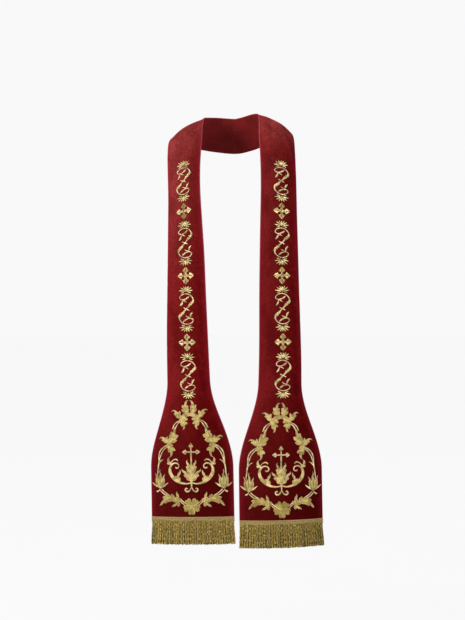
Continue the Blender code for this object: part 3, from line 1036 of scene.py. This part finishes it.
def gold_thread_material():
    """Satin-stitched rayon: pale along a stroke's edges, greener within, with painted shade where it meets
    the pile.
    """
    nodes = Nodes(bpy.data.materials.new("gold_thread"))
    _, run, inside, tone = nodes.marks()
    thread = nodes.wave(run, 2 * np.pi / THREAD)
    place = nodes.add("TexCoord").outputs["Object"]
    patches = nodes.noise(place, 90.0, 3)
    fill = nodes.tint(rgb(0.4, 0.33, 0.055), rgb(0.98, 0.76, 0.34), tone, 0.0, 1.0)
    edge = nodes.tint(rgb(0.92, 0.64, 0.3), rgb(1.0, 0.78, 0.47), tone, 0.45, 0.85)
    light = nodes.tint(edge, fill, inside, 0.6, 1.4)
    light = nodes.tints(
        light,
        ((1.0, 0.93, 0.36), tone, 1.0, GREEN, 0.0, 0.8),
        ((0.16, 0.11, 0.035), tone, -1.0, 0.0, 0.7, 0.0),
        ((0.22, 0.15, 0.022), patches, 0.42, 0.64, 0.0, 0.7),
        ((0.2, 0.125, 0.016), thread, -1, 1, 0.4, 0.0))
    # Painted shade: near black on the skirt round each stroke, where it sinks into the pile, and along a
    # vein's middle.
    colour = nodes.tint(rgb(0.022, 0.006, 0.002), light, inside, -0.15, 0.2)
    normal = nodes.bump(thread, 0.00022, 0.7)
    return nodes.finish(colour, Roughness=nodes.ramp(patches, 0.3, 0.7, 0.34, 0.48), Normal=normal,
                        Metallic=0.45, Specular_IOR_Level=0.5)


def braid_material():
    """The heading: a beige cord along the top, and speckled old-gold loops below, with painted glints, and
    painted shade in their gaps.
    """
    nodes = Nodes(bpy.data.materials.new("gold_braid"))
    marks, side, down, height = nodes.marks()
    strands = nodes.wave(nodes.math("ADD", side, down), 2 * np.pi / BRAID_STRAND)
    glint = nodes.noise(marks, 0.6, 2, (1, 0.8, 0))
    colour = nodes.tint(rgb(0.13, 0.088, 0.016), rgb(0.76, 0.57, 0.19), glint, 0.4, 0.6)
    colour = nodes.tint(rgb(0.62, 0.39, 0.19), colour, down, 2.0, 2.8)
    # Painted shade where the weave lies low, in its gaps.
    colour = nodes.tint(colour, rgb(0.06, 0.03, 0.006), height, 0.7, 1.5, 0.85, 0.0)
    colour = nodes.tint(colour, rgb(0.16, 0.1, 0.03), strands, -1, 1, 0.3, 0.0)
    normal = nodes.bump(strands, 0.0003, 0.6)
    return nodes.finish(colour, Roughness=nodes.ramp(glint, 0.3, 0.7, 0.6, 0.4), Normal=normal,
                        Metallic=0.25, Specular_IOR_Level=0.5)


def bullion_material():
    """Old-gold twist with fine strands, each cord lighter or darker, partly at random and partly by painted
    shade, with painted glints, and painted shade in the hollows and between clumps.
    """
    nodes = Nodes(bpy.data.materials.new("gold_bullion"))
    marks, side, along, tone = nodes.marks()
    strands = nodes.wave(nodes.math("SUBTRACT", along, side), 2 * np.pi / BULLION_STRAND)
    glint = nodes.noise(marks, 0.5, 2, (1.2, 0.32, 0))
    clump_shade = nodes.noise(marks, 0.5, 2, (1.0, 0.05, 0))
    parted = nodes.ramp(along, HEM_AT + 4, HEM_AT + 30, 0.55, 1.0)
    cord = nodes.math("MULTIPLY_ADD", nodes.math("SUBTRACT", tone, MIDDLE_TONE), parted, MIDDLE_TONE)
    colour = nodes.mix(cord, rgb(0.02, 0.011, 0.002), rgb(0.8, 0.56, 0.11))
    colour = nodes.tints(
        colour,
        # painted glints, and painted shade between them
        ((0.95, 0.7, 0.22), glint, 0.48, 0.66, 0.0, 0.6),
        ((0.03, 0.017, 0.002), glint, 0.35, 0.5, 0.8, 0.0),
        # painted shade in the gaps between clumps of cords
        ((0.055, 0.032, 0.005), clump_shade, 0.36, 0.48, 0.35, 0.0),
        ((0.1, 0.06, 0.012), strands, -1, 1, 0.35, 0.0))
    normal = nodes.bump(strands, 0.0003, 0.6)
    return nodes.finish(colour, Roughness=nodes.ramp(glint, 0.3, 0.7, 0.55, 0.35), Normal=normal,
                        Metallic=0.5, Specular_IOR_Level=0.3)


# ---------------------------------------- the studio

CAMERA_AT = (0.003, -3.4647, -0.5536)   # level, at the height of the bands' middle
CAMERA_AWAY = 3.2                       # from the bands
FIELD_HEIGHT = 1.674                    # what it takes in at that distance
AMBIENT = 0.5                           # how strongly the backdrop lights the cloth
FLOOR_GLOW = 0.92                       # makes the floor as pale as the backdrop
FLOOR_AT = -1.46                        # where the wearer would stand
FLOOR_RADIUS = 40
BACKDROP = (0.945, 0.945, 0.95)         # as it looks
BACKDROP_LIGHT = (0.96, 0.97, 1.0)      # as it lights the cloth

Light = namedtuple("Light", "name place target size power colour")
LIGHTS = (
    Light("key", (-3.3, -2.4, 1.1), (0, -0.1, -0.6), 1.9, 200, (1.0, 0.985, 0.96)),
    Light("fill", (2.4, -3.0, -0.2), (0, -0.1, -0.7), 2.2, 52, (0.97, 0.98, 1.0)),
    Light("back", (1.2, 3.2, 1.6), (0, 0, -0.4), 2.0, 30, (1, 1, 1)),
)


def make_camera():
    data = bpy.data.cameras.new("camera")
    data.lens = data.sensor_width * CAMERA_AWAY / FIELD_HEIGHT
    camera = bpy.data.objects.new("camera", data)
    camera.location = CAMERA_AT
    camera.rotation_euler = (np.pi / 2, 0, 0)
    bpy.context.scene.collection.objects.link(camera)
    bpy.context.scene.camera = camera


def make_light(light):
    data = bpy.data.lights.new(light.name, "AREA")
    data.shape = "DISK"
    data.size = light.size
    data.energy = light.power
    data.color = light.colour
    lamp = bpy.data.objects.new(light.name, data)
    lamp.location = light.place
    lamp.rotation_mode = "QUATERNION"
    lamp.rotation_quaternion = (Vector(light.target) - Vector(light.place)).to_track_quat("-Z", "Y")
    bpy.context.scene.collection.objects.link(lamp)


def make_floor():
    """A plain pale floor, where the wearer would stand. It throws no light back up at the cloth."""
    bpy.ops.mesh.primitive_circle_add(vertices=96, radius=FLOOR_RADIUS, fill_type="NGON",
                                      location=(0, 0, FLOOR_AT))
    floor = bpy.context.object
    floor.name = "floor"
    nodes = Nodes(bpy.data.materials.new("pale_floor"))
    place = nodes.add("TexCoord").outputs["Object"]
    grain = nodes.noise(place, 3.0, 3)
    colour = nodes.tint(rgb(0.028, 0.028, 0.028), rgb(0.032, 0.032, 0.032), grain, 0.3, 0.7)
    floor.data.materials.append(nodes.finish(colour, Roughness=0.9, Specular_IOR_Level=0.0,
                                             Emission_Color=rgb(1, 1, 1), Emission_Strength=FLOOR_GLOW))
    floor.visible_diffuse = False
    floor.visible_glossy = False


def make_world():
    """A pale backdrop, which shines in the gold as it looks but lights the cloth less."""
    nodes = Nodes(bpy.data.worlds.new("studio"))
    looks = nodes.tree.nodes["Background"]
    nodes.join(looks.inputs["Color"], rgb(*BACKDROP))
    lighting = nodes.add("Background", Color=rgb(*BACKDROP_LIGHT), Strength=AMBIENT)
    path = nodes.add("LightPath").outputs
    seen = nodes.math("MAXIMUM", path["Is Camera Ray"], path["Is Glossy Ray"])
    mix = nodes.add("MixShader", Fac=seen)
    nodes.join(mix.inputs[1], lighting.outputs["Background"])
    nodes.join(mix.inputs[2], looks.outputs["Background"])
    nodes.join(nodes.tree.nodes["World Output"].inputs["Surface"], mix.outputs["Shader"])
    bpy.context.scene.world = nodes.owner


def make_studio():
    make_floor()
    make_world()
    make_camera()
    for light in LIGHTS:
        make_light(light)
    bpy.context.scene.view_settings.view_transform = "Standard"


# ---------------------------------------- the object


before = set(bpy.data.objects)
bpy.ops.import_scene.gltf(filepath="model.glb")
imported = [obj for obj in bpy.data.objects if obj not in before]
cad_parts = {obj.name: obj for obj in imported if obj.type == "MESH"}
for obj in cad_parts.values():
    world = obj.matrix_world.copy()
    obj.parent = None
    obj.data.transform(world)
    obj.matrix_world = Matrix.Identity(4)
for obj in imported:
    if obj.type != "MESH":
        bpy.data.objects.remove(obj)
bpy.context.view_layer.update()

velvet = velvet_material()
underside = underside_material()
braid = braid_material()
bullion = bullion_material()
thread = gold_thread_material()
for side_name in ("right", "left"):
    half = Half(side_name)
    panel = make_panel(half, velvet, underside)
    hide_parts("panel_" + side_name)
    heading = make_heading(half, braid)
    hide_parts("heading_" + side_name)
    fringe = make_fringe(half, bullion)
    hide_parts("fringe_" + side_name)
    band, end = Work(), Work()
    column(band, side_name)
    garland(end, GARLAND_AT)
    band = make_embroidery("band_embroidery", half, band, thread, COLUMN_SIDE[side_name])
    end = make_embroidery("garland_embroidery", half, end, thread)

make_studio()
